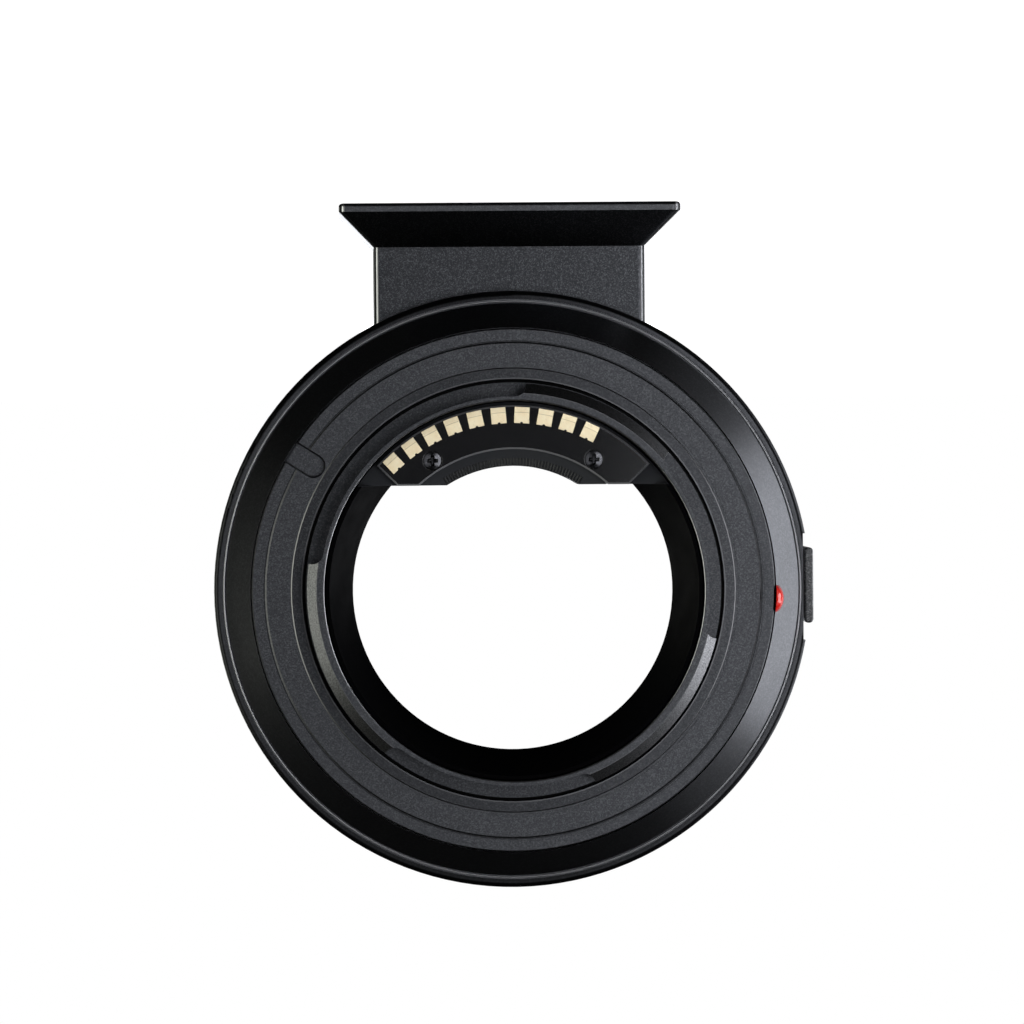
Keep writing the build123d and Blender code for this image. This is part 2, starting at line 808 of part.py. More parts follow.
def lens_spring_screws():
    """One screw for each leaf spring, from behind into the plate."""
    length = leaf_thickness + plate_thickness - claw_thickness / 2 - screw_bottom_gap
    screw = cross_screw(leaf_screw_radius, leaf_head_radius, leaf_head_height, length)
    head_y = plate_back_y - leaf_thickness
    return [on_camera_side(screw, leaf_screw_circle, angle, head_y) for angle in leaf_ear_angles]


def pin_holder():
    """Moulding on the board with a stepped channel for each pin, and two screwed ears."""
    inner = pin_circle_radius - holder_half_width
    outer = pin_circle_radius + holder_half_width
    outline = sector(inner, outer, -90 - holder_half_span, -90 + holder_half_span)
    body = prism(outline, board_top_y, holder_face_y)
    body = chamfer(body.edges().group_by(Axis.Y)[-1], holder_edge)
    ear_top_y = board_top_y + holder_ear_thickness
    arm_half = small_head_radius + screw_clearance
    arm = sector(boss_circle - arm_half, boss_circle + arm_half, -90 - boss_spread, -90 + boss_spread)
    body += prism(arm, board_top_y, ear_top_y)
    for angle in boss_angles:
        body += drilled(arm_half, boss_circle, angle, board_top_y, ear_top_y)
    for angle in boss_angles:
        body -= drilled(small_screw_radius + screw_clearance, boss_circle, angle, board_top_y, ear_top_y)
    for angle in pin_angles:
        body -= drilled(pin_shoulder_radius + slide_gap, pin_circle_radius, angle, board_top_y, pin_stop_y)
        body -= drilled(pin_tip_radius + slide_gap, pin_circle_radius, angle, board_top_y, holder_face_y)
    return body


def pin_holder_screws():
    """Screws through the holder's ears and the board into the baffle's bosses."""
    head_y = board_top_y + holder_ear_thickness
    length = head_y - web_y - screw_bottom_gap
    screw = cross_screw(small_screw_radius, small_head_radius, small_head_height, length)
    return [on_lens_side(screw, boss_circle, angle, head_y) for angle in boss_angles]


def lens_pin(angle):
    """Sprung pin: a round nose, a shoulder that stops in the holder and a tail in the spring."""
    nose_length = pin_cap_thickness + pin_stand_out
    nose = Pos(0, 0, nose_length / 2) * Cylinder(pin_tip_radius, nose_length)
    nose = fillet(nose.edges().group_by(Axis.Z)[-1], pin_nose_round)
    shoulder = Pos(0, 0, -pin_shoulder_length / 2) * Cylinder(pin_shoulder_radius, pin_shoulder_length)
    tail_middle = -pin_shoulder_length - pin_tail_length / 2
    tail = Pos(0, 0, tail_middle) * Cylinder(pin_tail_radius, pin_tail_length)
    return on_lens_side(nose + shoulder + tail, pin_circle_radius, angle, pin_stop_y)


def pin_spring(angle):
    """Spring between the board and a pin's shoulder."""
    length = pin_stop_y - pin_shoulder_length - board_top_y
    radius = (pin_tail_radius + pin_shoulder_radius) / 2
    return on_lens_side(
        coil(radius, pin_wire_radius, length, pin_spring_turns), pin_circle_radius, angle, board_top_y
    )


def release_carriage():
    """Block in the barrel's channel that carries the lock pin and runs on the spring's rod."""
    half = carriage_width / 2
    body = block(
        (-carriage_outer, carriage_back_y, axis_height - half),
        (-carriage_inner, carriage_front_y, axis_height + half),
    )
    bore_depth = rod_reach + release_travel + screw_bottom_gap
    body -= drilled(rod_radius + slide_gap, -lock_pin_x, 180, carriage_back_y, carriage_back_y + bore_depth)
    body -= drilled(lock_pin_radius, -lock_pin_x, 180, carriage_front_y - lock_pin_grip, carriage_front_y)
    sink = button_head_height + screw_bottom_gap
    head_hole = Pos(0, 0, -sink / 2) * Cylinder(button_head_radius + screw_clearance, sink)
    shank_hole = Cylinder(button_screw_radius + screw_clearance, carriage_thickness)
    shank_hole = Pos(0, 0, -carriage_thickness / 2) * shank_hole
    for place in button_screw_places():
        body -= place * head_hole
        body -= place * shank_hole
    return body


def button_screw_places():
    """Planes on the carriage's inner face, facing the optical axis, one for each button screw."""
    places = []
    for height in [axis_height - button_screw_spread, axis_height + button_screw_spread]:
        centre = (-carriage_inner, neck_middle_y, height)
        places.append(Plane(origin=centre, x_dir=(0, 1, 0), z_dir=(1, 0, 0)))
    return places


def release_button():
    """Cap outside the barrel with cross ribs, and a neck through the slot to the carriage."""
    cap_inner = pocket_floor + button_stand_off
    cap_outer = cap_inner + button_thickness
    back_y = button_front_y - button_length
    outline = Pos(-(cap_inner + cap_outer) / 2, 0) * RectangleRounded(button_thickness, button_width, button_round)
    cap = prism(outline, back_y, button_front_y)
    rims = cap.edges().group_by(Axis.Y)
    cap = fillet(rims[0] + rims[-1], button_edge)
    rib_count = int((button_length - 2 * button_rib_pitch) / button_rib_pitch)
    rib_start = (back_y + button_front_y) / 2 - (rib_count - 1) * button_rib_pitch / 2
    groove_side = button_rib_depth * math.sqrt(2)
    for i in range(rib_count):
        groove = Rot(0, 0, 45) * Box(groove_side, groove_side, 2 * button_width)
        cap -= Pos(-cap_outer, rib_start + i * button_rib_pitch, axis_height) * groove
    half_neck = neck_width / 2
    neck = block(
        (-cap_inner, neck_middle_y - neck_length / 2, axis_height - half_neck),
        (-carriage_outer, neck_middle_y + neck_length / 2, axis_height + half_neck),
    )
    body = cap + neck
    depth = cap_inner - carriage_outer
    for place in button_screw_places():
        hole = Cylinder(button_screw_radius + thread_gap, depth)
        body -= place * (Pos(0, 0, -carriage_thickness - depth / 2) * hole)
    return body


def button_screws():
    """Two screws from inside, through the carriage into the button's neck."""
    head_depth = button_head_height + screw_bottom_gap
    grip = pocket_floor + button_stand_off - carriage_outer - screw_bottom_gap
    length = carriage_thickness - head_depth + grip
    screw = cross_screw(button_screw_radius, button_head_radius, button_head_height, length)
    return [place * (Pos(0, 0, -head_depth) * screw) for place in button_screw_places()]


def lock_pin():
    """Pin pressed into the carriage, standing out of the lens flange at rest."""
    length = lock_pin_grip + carriage_stop_gap + plate_thickness + lock_pin_stand_out
    pin = Pos(0, 0, length / 2) * Cylinder(lock_pin_radius, length)
    pin = fillet(pin.edges().group_by(Axis.Z)[-1], lock_pin_nose)
    return on_lens_side(pin, -lock_pin_x, 180, carriage_front_y - lock_pin_grip)


def spring_rod():
    """Rod pressed into the channel's end, which guides the spring and the carriage."""
    length = rod_grip + carriage_back_y - channel_end_y + rod_reach
    rod = Pos(0, 0, length / 2) * Cylinder(rod_radius, length)
    return on_lens_side(rod, -lock_pin_x, 180, channel_end_y - rod_grip)


def release_spring():
    """Spring round the rod, between the channel's end and the carriage."""
    radius = rod_radius + slide_gap + 2 * release_wire_radius
    spring = coil(radius, release_wire_radius, carriage_back_y - channel_end_y, release_spring_turns)
    return on_lens_side(spring, -lock_pin_x, 180, channel_end_y)


def camera_index_dot():
    """Bead in the rear chamfer, cut off flush at the flange's recess."""
    return camera_dot_plane() * dot_plug(dot_radius) - prism(Circle(recess_radius), bayonet_end_y, web_y)


def lens_index_dot():
    """Bead on top of the barrel near its lens end."""
    return lens_dot_plane() * dot_plug(lens_dot_radius)


def tripod_foot():
    """Dovetail plate bevelled on all four sides, with a stem that saddles the barrel."""
    base = RectangleRounded(foot_width, foot_length, foot_corner)
    edge = extrude(base, amount=foot_edge_height)
    edge = fillet(edge.faces().sort_by(Axis.Z)[0].edges(), foot_edge_round)
    stem_outline = Pos(0, 0, foot_top) * RectangleRounded(stem_width, stem_length, stem_corner)
    bevel = loft([Pos(0, 0, foot_edge_height) * base, stem_outline], ruled=True)
    stem = extrude(stem_outline, amount=axis_height - foot_top)
    saddle = prism(Circle(barrel_radius), -foot_length, foot_length)
    stem -= saddle
    foot = edge + bevel + stem
    collar = Cylinder(bush_collar_radius, bush_collar_height)
    foot -= Pos(0, 0, bush_collar_height / 2) * collar
    foot -= Pos(0, 0, bush_length / 2) * Cylinder(bush_radius, bush_length)
    for x in foot_screw_places:
        sink = foot_screw_head_height + foot_screw_head_recess
        foot -= Pos(x, 0, sink / 2) * Cylinder(foot_screw_head_radius + screw_clearance, sink)
        foot -= Pos(x, 0, axis_height / 2) * Cylinder(foot_screw_radius + screw_clearance, axis_height)
    return foot


def tripod_bush():
    """Pressed insert with a collar at the base, bored for the tripod thread."""
    body = Pos(0, 0, bush_length / 2) * Cylinder(bush_radius, bush_length)
    body += Pos(0, 0, bush_collar_height / 2) * Cylinder(bush_collar_radius, bush_collar_height)
    return body - Pos(0, 0, bush_length / 2) * Cylinder(tripod_thread_radius, bush_length)


def foot_screws():
    """Two socket screws from the base, through the stem into the barrel."""
    head = Pos(0, 0, -foot_screw_head_height / 2) * Cylinder(foot_screw_head_radius, foot_screw_head_height)
    socket = extrude(RegularPolygon(foot_screw_hex, 6), amount=foot_screw_head_height * recess_share)
    head -= Pos(0, 0, -foot_screw_head_height) * socket
    sink = foot_screw_head_height + foot_screw_head_recess
    screws = []
    for x in foot_screw_places:
        length = barrel_height_at(x) + foot_screw_grip - sink
        shank = Pos(0, 0, length / 2) * Cylinder(foot_screw_radius, length)
        screws.append(Pos(x, 0, sink) * (head + shank))
    return screws


def save(name, shape):
    """Write one node: a solid, or a list of separate solids."""
    if isinstance(shape, list):
        shape = Compound(shape)
    export_step(shape, f"parts/{name}.step")


os.makedirs("parts", exist_ok=True)
save("barrel", barrel())
save("camera_mount", camera_mount())
save("camera_mount_screws", camera_mount_screws())
save("light_baffle", light_baffle())
save("baffle_screws", baffle_screws())
save("contact_block", contact_block())
save("contact_block_screws", contact_block_screws())
for number, angle in enumerate(contact_angles, start=1):
    save(f"camera_contact_{number:02d}", camera_contact(angle))
save("circuit_board", circuit_board())
save("controller_chip", chip(controller_size, controller_height, controller_spread))
save("power_chip", chip(power_size, power_height, power_spread))
save("lens_mount", lens_mount())
save("lens_mount_screws", lens_mount_screws())
for number, angle in enumerate(claw_angles, start=1):
    save(f"lens_spring_{number}", lens_spring(angle))
save("lens_spring_screws", lens_spring_screws())
save("pin_holder", pin_holder())
save("pin_holder_screws", pin_holder_screws())
for number, angle in enumerate(pin_angles, start=1):
    save(f"lens_pin_{number}", lens_pin(angle))
    save(f"pin_spring_{number}", pin_spring(angle))
save("release_button", release_button())
save("release_carriage", release_carriage())
save("button_screws", button_screws())
save("lock_pin", lock_pin())
save("spring_rod", spring_rod())
save("release_spring", release_spring())
save("camera_index_dot", camera_index_dot())
save("lens_index_dot", lens_index_dot())
save("tripod_foot", tripod_foot())
save("tripod_bush", tripod_bush())
save("foot_screws", foot_screws())
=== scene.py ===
"""Lens mount adapter with a tripod foot: finishes, small fittings and studio.

Metres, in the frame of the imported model: the foot's base is at Z = 0, the optical axis runs along Y,
the camera side faces -Y and the lens side +Y. Angles round the axis are in radians from +X,
anticlockwise as seen from the camera side.
"""
import math

import bmesh
import bpy
import numpy as np
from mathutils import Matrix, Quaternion, Vector


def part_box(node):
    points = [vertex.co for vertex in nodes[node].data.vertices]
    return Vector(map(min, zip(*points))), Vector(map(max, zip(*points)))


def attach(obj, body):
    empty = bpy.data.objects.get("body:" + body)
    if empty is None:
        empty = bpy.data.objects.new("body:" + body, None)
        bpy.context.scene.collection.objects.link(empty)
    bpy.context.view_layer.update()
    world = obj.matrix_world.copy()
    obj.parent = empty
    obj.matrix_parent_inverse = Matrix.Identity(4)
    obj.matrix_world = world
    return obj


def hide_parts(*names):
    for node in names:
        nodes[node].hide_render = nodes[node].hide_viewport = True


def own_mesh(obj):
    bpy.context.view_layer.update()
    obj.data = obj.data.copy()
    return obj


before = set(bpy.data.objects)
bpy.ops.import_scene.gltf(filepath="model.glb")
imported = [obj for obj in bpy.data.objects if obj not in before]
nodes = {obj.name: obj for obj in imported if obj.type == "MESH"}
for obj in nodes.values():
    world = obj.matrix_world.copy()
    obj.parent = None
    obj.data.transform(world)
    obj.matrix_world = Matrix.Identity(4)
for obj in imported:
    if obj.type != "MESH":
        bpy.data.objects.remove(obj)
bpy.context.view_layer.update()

# Camera
# A long lens looks at the camera side, a little from the right and from below the axis.
# The picture is turned upside down, so that the foot is at its top.
MM = 0.001
ring_low, ring_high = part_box("camera_mount")
axis_height = (ring_low.z + ring_high.z) / 2
flange_y = -14.0 * MM
image_side = 1024
ring_pixel = (513.0, 590.2)
pixel_size = 0.1105 * MM
camera_distance = 650.0 * MM
swing_to_right = math.radians(1.63)
dip_below_axis = math.radians(1.46)
roll = math.radians(179.55)

ring_centre = Vector((0.0, flange_y, axis_height))
toward_camera = Vector((math.sin(swing_to_right), -1.0, -math.sin(dip_below_axis)))
aim_right = (ring_pixel[0] - image_side / 2) * pixel_size
aim_down = (ring_pixel[1] - image_side / 2) * pixel_size
aim = ring_centre + Vector((aim_right, 0.0, -aim_down))
camera_data = bpy.data.cameras.new("photo_camera")
camera_data.sensor_width = 36.0
camera_data.lens = camera_data.sensor_width * camera_distance / (image_side * pixel_size)
camera_data.clip_start = 0.05
camera_data.clip_end = 20.0
camera = bpy.data.objects.new("photo_camera", camera_data)
bpy.context.scene.collection.objects.link(camera)
camera.location = ring_centre + toward_camera * camera_distance
camera.rotation_mode = "QUATERNION"
sight = (aim - camera.location).to_track_quat("-Z", "Y")
camera.rotation_quaternion = sight @ Quaternion((0.0, 0.0, 1.0), roll)
bpy.context.scene.camera = camera
bpy.context.scene.view_settings.view_transform = "Standard"


def add(tree, kind, inputs=None, **settings):
    """New shader node of a kind. Each input is a value, or a socket that is joined to it."""
    node = tree.nodes.new("ShaderNode" + kind)
    for name, value in settings.items():
        setattr(node, name, value)
    for name, value in (inputs or {}).items():
        if isinstance(value, bpy.types.NodeSocket):
            tree.links.new(value, node.inputs[name])
        else:
            node.inputs[name].default_value = value
    return node


# Studio
# White sweep behind and pale floor below, with soft boxes at both sides, in front and behind.
# The sweep is dark to reflections, as in a booth with black flags above and below.
world = bpy.data.worlds.new("white_sweep")
bpy.context.scene.world = world
world.use_nodes = True
sky = world.node_tree
sky.nodes.clear()
seen = add(sky, "LightPath").outputs["Is Camera Ray"]
booth = add(sky, "Background", {"Color": (1.0, 1.0, 1.0, 1.0), "Strength": 0.03})
sweep = add(sky, "Background", {"Color": (1.0, 1.0, 1.0, 1.0), "Strength": 1.0})
either = add(sky, "MixShader", {"Fac": seen, 1: booth.outputs[0], 2: sweep.outputs[0]})
add(sky, "OutputWorld", {"Surface": either.outputs[0]})


def soft_box(name, place, size, radiance, colour):
    """Rectangular light at a place, facing the ring: its power follows from radiance and area."""
    data = bpy.data.lights.new(name, "AREA")
    data.shape = "RECTANGLE"
    data.size, data.size_y = size
    data.energy = radiance * math.pi * size[0] * size[1]
    data.color = colour
    light = bpy.data.objects.new(name, data)
    bpy.context.scene.collection.objects.link(light)
    light.location = place
    facing = Vector((0.0, 0.0, axis_height)) - Vector(place)
    light.rotation_mode = "QUATERNION"
    light.rotation_quaternion = facing.to_track_quat("-Z", "Y")
    light.visible_camera = False


cool = (0.94, 0.96, 1.0)
warm = (0.98, 1.0, 0.89)
soft_box("key_at_release", (-0.42, 0.02, 0.053), (0.36, 0.46), 5.4, cool)
soft_box("key_spill", (-0.44, 0.02, 0.043), (0.36, 1.10), 0.45, cool)
soft_box("fill_opposite", (0.40, -0.15, 0.043), (0.22, 0.40), 3.7, warm)
soft_box("front_near_key", (-0.20, -0.66, 0.005), (0.24, 0.42), 5.6, cool)
soft_box("front_near_fill", (0.21, -0.66, 0.005), (0.24, 0.42), 1.5, cool)
soft_box("lens_side_high", (-0.30, 0.50, 0.16), (0.36, 0.26), 2.4, cool)
soft_box("lens_side_low", (0.40, 0.42, 0.08), (0.30, 0.26), 2.0, warm)
soft_box("lens_side_front", (0.05, 0.75, 0.12), (0.60, 0.22), 3.8, cool)

floor_half = 3.0
floor_mesh = bpy.data.meshes.new("floor")
corners = [(-1, -1), (1, -1), (1, 1), (-1, 1)]
floor_mesh.from_pydata([(x * floor_half, y * floor_half, -2e-5) for x, y in corners], [], [(0, 1, 2, 3)])
floor = bpy.data.objects.new("floor", floor_mesh)
bpy.context.scene.collection.objects.link(floor)
paper = bpy.data.materials.new("pale_paper")
paper.use_nodes = True
sheet = paper.node_tree
place = add(sheet, "TexCoord").outputs["Object"]
away = add(sheet, "VectorMath", {0: place}, operation="LENGTH").outputs["Value"]
glow = add(sheet, "MapRange", {"Value": away, "From Min": 0.02, "From Max": 0.12, "To Min": 0.95, "To Max": 1.02})
paper_shader = sheet.nodes["Principled BSDF"]
paper_shader.inputs["Base Color"].default_value = (0.8, 0.8, 0.8, 1.0)
paper_shader.inputs["Roughness"].default_value = 0.9
paper_shader.inputs["Specular IOR Level"].default_value = 0.0
paper_shader.inputs["Emission Color"].default_value = (1.0, 1.0, 1.0, 1.0)
sheet.links.new(glow.outputs["Result"], paper_shader.inputs["Emission Strength"])
floor_mesh.materials.append(paper)
floor.visible_diffuse = False
floor.visible_glossy = False


# Barrel
# Turned from aluminium, blasted with fine glass beads and anodised black. The fine bead round its
# rear rim is painted paler as a thin painted highlight line, and the round edge beside it is darkened
# with painted shade.
def finish_with(name, colour, roughness, **more):
    """Material whose Principled shader has these even values, its tree and its object coordinates."""
    finish = bpy.data.materials.new(name)
    finish.use_nodes = True
    tree = finish.node_tree
    shader = tree.nodes["Principled BSDF"]
    shader.inputs["Base Color"].default_value = (*colour, 1.0)
    shader.inputs["Roughness"].default_value = roughness
    for socket, value in more.items():
        shader.inputs[socket.replace("_", " ")].default_value = value
    return finish, tree, shader, add(tree, "TexCoord").outputs["Object"]


def spread(tree, value, low, high, to_low=0.0, to_high=1.0):
    """Value carried from one range to another, and held at its ends."""
    ends = {"From Min": low, "From Max": high, "To Min": to_low, "To Max": to_high}
    return add(tree, "MapRange", {"Value": value, **ends}).outputs["Result"]


def blend(tree, share, first, second):
    """Colour between two tones, each a colour socket or three numbers."""
    tones = [tone if isinstance(tone, bpy.types.NodeSocket) else (*tone, 1.0) for tone in (first, second)]
    return add(tree, "MixRGB", {"Fac": share, "Color1": tones[0], "Color2": tones[1]}).outputs["Color"]


def noise(tree, place, grain, detail=2.0, roughness=0.6):
    """Even noise from 0 to 1 with lumps about one grain across."""
    inputs = {"Vector": place, "Scale": 1 / grain, "Detail": detail, "Roughness": roughness}
    return add(tree, "TexNoise", inputs).outputs["Fac"]


def math_of(tree, operation, first, second, third=None):
    """Result of one arithmetic node."""
    inputs = {0: first, 1: second}
    if third is not None:
        inputs[2] = third
    return add(tree, "Math", inputs, operation=operation).outputs["Value"]


def radius_from_axis(tree, place):
    """Distance of a point from the optical axis."""
    from_axis = add(tree, "VectorMath", {0: place, 1: (0.0, 0.0, axis_height)}, operation="SUBTRACT")
    across = add(tree, "VectorMath", {0: from_axis.outputs[0], 1: (1.0, 0.0, 1.0)}, operation="MULTIPLY")
    return add(tree, "VectorMath", {0: across.outputs[0]}, operation="LENGTH").outputs["Value"]


def relieve(tree, shader, height, depth, edge_width):
    """Bump of a height pattern, on a normal that is rounded over sharp edges."""
    rounded = add(tree, "Bevel", {"Radius": edge_width}, samples=6).outputs["Normal"]
    bump = add(tree, "Bump", {"Height": height, "Strength": 0.6, "Distance": depth, "Normal": rounded})
    tree.links.new(bump.outputs["Normal"], shader.inputs["Normal"])


def paint(tree, shader, colour, roughness):
    """Joins a colour and a roughness pattern to the shader."""
    tree.links.new(colour, shader.inputs["Base Color"])
    tree.links.new(roughness, shader.inputs["Roughness"])


def blasted_black(name, dark, light, grain, glint, depth, roughness, edge_width):
    """Black anodising on a blasted surface: two tones of speckle, a shine of its own for each small
    pit, where few are bright, and their relief."""
    finish, tree, shader, place = finish_with(name, dark, roughness, Metallic=1.0)
    speckle = noise(tree, place, grain)
    pits = add(tree, "TexVoronoi", {"Vector": place, "Scale": 1 / grain})
    chance = add(tree, "SeparateColor", {"Color": pits.outputs["Color"]}).outputs["Red"]
    few = math_of(tree, "POWER", chance, 3.0)
    shade = blend(tree, spread(tree, speckle, 0.35, 0.65), dark, light)
    shade = blend(tree, few, shade, glint)
    cloud = spread(tree, noise(tree, place, 40 * grain), 0.3, 0.7, roughness - 0.015, roughness + 0.015)
    paint(tree, shader, shade, cloud)
    relieve(tree, shader, speckle, depth, edge_width)
    return finish, tree, shader, place, shade, cloud


def dress(finish, *names):
    """Puts a finish on CAD nodes."""
    for name in names:
        nodes[name].data.materials.clear()
        nodes[name].data.materials.append(finish)


bead_radius = 32.06 * MM
bead_half_width = 0.14 * MM
bead_highlight_tone = (0.30, 0.30, 0.31)
shoulder_shade_start_radius = 32.6 * MM
shoulder_shade_full_radius = 32.78 * MM
shoulder_shade_end_y = -9.4 * MM
barrel_black, tree, shader, place, shade, cloud = blasted_black(
    "barrel_black", (0.042, 0.043, 0.046), (0.056, 0.057, 0.061), 0.15 * MM, (0.066, 0.067, 0.072),
    0.003 * MM, 0.36, 0.02 * MM,
)
radius = radius_from_axis(tree, place)
# Painted shade: the round rear edge outside the bead is darkened towards black.
at_rear = math_of(tree, "LESS_THAN", add(tree, "SeparateXYZ", {0: place}).outputs["Y"], shoulder_shade_end_y)
shoulder_shade = math_of(tree, "MULTIPLY", at_rear, spread(tree, radius, shoulder_shade_start_radius, shoulder_shade_full_radius, 0.0, 0.7))
# Painted highlight: the bead round the rear rim is painted paler as a thin shining line.
bead_highlight = math_of(tree, "COMPARE", radius, bead_radius, bead_half_width)
shade = blend(tree, shoulder_shade, shade, (0.002, 0.002, 0.002))
tree.links.new(blend(tree, bead_highlight, shade, bead_highlight_tone), shader.inputs["Base Color"])
dress(barrel_black, "barrel")

# Tripod foot
# Milled from one block of aluminium, blasted coarser than the barrel and anodised black. Its rounded
# upright edges carry a painted highlight where they turn towards the side lamps and painted shade where
# they turn further away, and its plate's edge is painted paler as a highlight. Two socket screws hold it on.
plate_edge_highlight_tone = (0.22, 0.22, 0.23)
edge_highlight_tone = (0.42, 0.42, 0.43)
# Near black, for painted shade here and on the camera mount.
painted_shade_tone = (0.002, 0.002, 0.002)
plate_edge_height = 0.96 * MM
foot_black, tree, shader, place, shade, cloud = blasted_black(
    "foot_black", (0.026, 0.027, 0.029), (0.036, 0.037, 0.040), 0.11 * MM, (0.082, 0.084, 0.090),
    0.003 * MM, 0.36, 0.04 * MM,
)
facing = add(tree, "SeparateXYZ", {0: add(tree, "TexCoord").outputs["Normal"]})
across = math_of(tree, "ABSOLUTE", facing.outputs["X"], 0.0)
along = math_of(tree, "ABSOLUTE", facing.outputs["Y"], 0.0)
# Painted highlight on the rounded upright edges, where they turn towards the side lamps.
edge_highlight = math_of(tree, "MULTIPLY", spread(tree, across, 0.22, 0.34), spread(tree, across, 0.60, 0.52))
edge_highlight = math_of(tree, "MULTIPLY", edge_highlight, spread(tree, along, 0.5, 0.6))
# Painted shade where the rounded edges turn further away from the lamps.
edge_shade = math_of(tree, "MULTIPLY", spread(tree, across, 0.58, 0.68), spread(tree, along, 0.15, 0.25))
# Painted highlight: everything below the plate's edge height is painted a little paler.
plate_edge_highlight = math_of(tree, "LESS_THAN", add(tree, "SeparateXYZ", {0: place}).outputs["Z"], plate_edge_height)
shade = blend(tree, math_of(tree, "MULTIPLY", plate_edge_highlight, 0.13), shade, plate_edge_highlight_tone)
shade = blend(tree, math_of(tree, "MULTIPLY", edge_shade, 0.8), shade, painted_shade_tone)
tree.links.new(blend(tree, edge_highlight, shade, edge_highlight_tone), shader.inputs["Base Color"])
dress(foot_black, "tripod_foot")


# Tripod bush
# Steel insert pressed into the foot's base, with a collar and a quarter inch thread of 20 turns to
# the inch. The thread's crests lie on the bored wall, and its mouth is countersunk.
def skin(name, rings, finish, wrap=False):
    """Mesh of arrays of loops, shaped (items, loops, points, xyz), that rides on the adapter's body.

    Quads join each point to the next in its loop and to the same point of the next loop. The first
    and last loops are closed by flat ends, or joined to each other where the loops wrap.
    """
    items, loops, points = rings.shape[:3]
    index = np.arange(items * loops * points).reshape(items, loops, points)
    here = index if wrap else index[:, :-1]
    there = np.roll(index, -1, axis=1) if wrap else index[:, 1:]
    quads = np.stack([here, np.roll(here, -1, axis=2), np.roll(there, -1, axis=2), there], axis=-1)
    faces = quads.reshape(-1, 4).tolist()
    if not wrap:
        faces += index[:, 0, ::-1].tolist() + index[:, -1].tolist()
    mesh = bpy.data.meshes.new(name)
    mesh.from_pydata(rings.reshape(-1, 3).tolist(), [], faces)
    shell = bmesh.new()
    shell.from_mesh(mesh)
    bmesh.ops.recalc_face_normals(shell, faces=shell.faces)
    shell.to_mesh(mesh)
    shell.free()
    mesh.shade_smooth()
    mesh.set_sharp_from_angle(angle=math.radians(32))
    mesh.materials.append(finish)
    piece = bpy.data.objects.new(name, mesh)
    bpy.context.scene.collection.objects.link(piece)
    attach(piece, "adapter_body")
    return piece


def turned_steel(name, colour, roughness, pitch):
    """Bright steel with fine lathe marks: uneven rings about the optical axis, in tone, shine and height."""
    finish, tree, shader, place = finish_with(name, colour, roughness, Metallic=1.0)
    turns = math_of(tree, "DIVIDE", radius_from_axis(tree, place), pitch)
    marks = add(tree, "TexNoise", {"W": turns, "Scale": 1.0, "Detail": 3.0}, noise_dimensions="1D").outputs["Fac"]
    deep = tuple(0.90 * tone for tone in colour)
    shine = spread(tree, marks, 0.3, 0.7, roughness - 0.03, roughness + 0.03)
    paint(tree, shader, blend(tree, spread(tree, marks, 0.3, 0.7), deep, colour), shine)
    relieve(tree, shader, marks, 0.001 * MM, 0.04 * MM)
    return finish


bright_steel = turned_steel("bright_steel", (0.62, 0.62, 0.61), 0.24, 0.12 * MM)
bush_low, bush_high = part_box("tripod_bush")
thread_radius = 2.55 * MM
thread_pitch = 1.27 * MM
thread_depth = 0.62 * MM
mouth_radius = 3.35 * MM
bush_wall = 4.75 * MM
collar_height = 0.8 * MM
collar_edge = 0.12 * MM


def threaded_wall(turn, height):
    """Radius of the bore: a triangle wave with flat crests and roots that climbs one pitch a turn."""
    phase = np.mod(height / thread_pitch - turn / (2 * np.pi), 1.0)
    tooth = np.clip(1.25 * np.abs(2 * phase - 1) - 0.125, 0.0, 1.0)
    return np.maximum(thread_radius + thread_depth * tooth, mouth_radius - height)


bush_turns = np.linspace(0, 2 * np.pi, 96, endpoint=False)[None, :]
bore_heights = np.linspace(0, bush_high.z, 161)[:, None]
collar_radius = bush_high.x
outside = [
    (bush_wall, bush_high.z),
    (bush_wall, collar_height),
    (collar_radius, collar_height),
    (collar_radius, collar_edge),
    (collar_radius - collar_edge, 0.0),
]
outer_radii = np.array([[radius] for radius, height in outside]) + 0 * bush_turns
outer_heights = np.array([[height] for radius, height in outside]) + 0 * bush_turns
bush_radii = np.vstack([threaded_wall(bush_turns, bore_heights), outer_radii])
bush_heights = np.vstack([bore_heights + 0 * bush_turns, outer_heights])
bush_points = np.stack([bush_radii * np.cos(bush_turns), bush_radii * np.sin(bush_turns), bush_heights], axis=-1)
threaded_bush = skin("threaded_bush", bush_points[None], bright_steel, wrap=True)
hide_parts("tripod_bush")
dress(bright_steel, "tripod_bush", "lock_pin", "spring_rod", "lens_mount_screws")

# Camera mount
# Flange and bayonet turned from one piece of aluminium, blasted finely and anodised black, and held
# by screws from inside. Use has burnished the flange's inner land and rubbed the bayonet's noses paler.
# Painted highlights brighten its slanted faces, a line beside the relief groove and the bore's end edge,
# and painted shade darkens its two grooves and the flange's outer edge.
nose_plane_y = -17.66 * MM
nose_inner_radius = 21.72 * MM
nose_tone = (0.055, 0.056, 0.058)
nose_glint = (0.14, 0.14, 0.145)
land_plane_y = -14.3 * MM
land_radius = 24.48 * MM
land_roughness = 0.30
painted_highlight_tone = (0.15, 0.15, 0.154)
slope_highlight_outer_radius = 28.0 * MM
relief_radius = 23.12 * MM
relief_half_width = 0.15 * MM
relief_top_y = -13.98 * MM
outer_groove_radius = 27.56 * MM
outer_groove_half_width = 0.05 * MM
outer_groove_floor_y = -13.88 * MM
end_edge_y = -18.35 * MM
end_edge_radius = 21.5 * MM
end_edge_highlight_tone = (0.42, 0.42, 0.43)
rim_radius = 28.75 * MM
rim_full_radius = 28.95 * MM
highlight_line_radius = 23.43 * MM
highlight_line_half_width = 0.06 * MM
